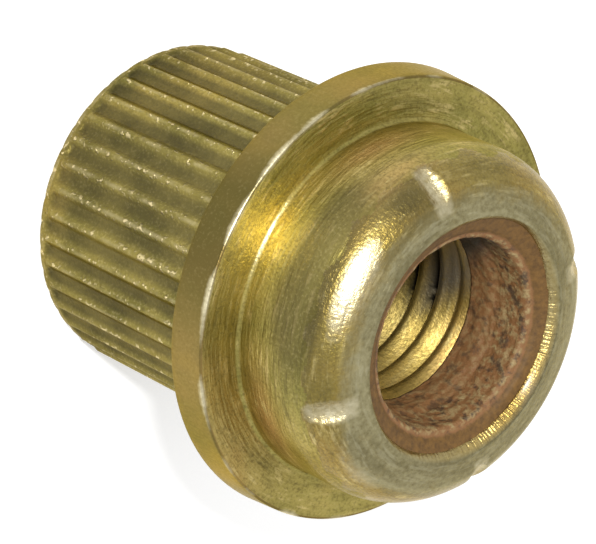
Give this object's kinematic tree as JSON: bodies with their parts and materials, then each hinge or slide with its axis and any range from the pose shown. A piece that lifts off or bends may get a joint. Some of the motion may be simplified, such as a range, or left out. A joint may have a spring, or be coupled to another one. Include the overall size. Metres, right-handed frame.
{
  "type": "self-locking spline nut",
  "caption": "Steel flanged nut with a straight-splined press-in shank and a fibre locking ring held under the rolled rim of its round nose.",
  "frame": {"origin": "centre of the shank's end face, which is the lowest face", "axes": "+Z along the thread axis from the shank towards the nose, +X through the first stake mark"},
  "size_m": [0.014, 0.014, 0.0137],
  "materials": {
    "yellow_zinc_steel": "turned steel with a worn yellow-chromate zinc plating, olive to gold",
    "vulcanised_fibre": "red-brown vulcanised fibre, matte, with a rough cut bore"
  },
  "bodies": {
    "root": {"nut_body": "yellow_zinc_steel", "locking_ring": "vulcanised_fibre"}
  },
  "joints": []
}
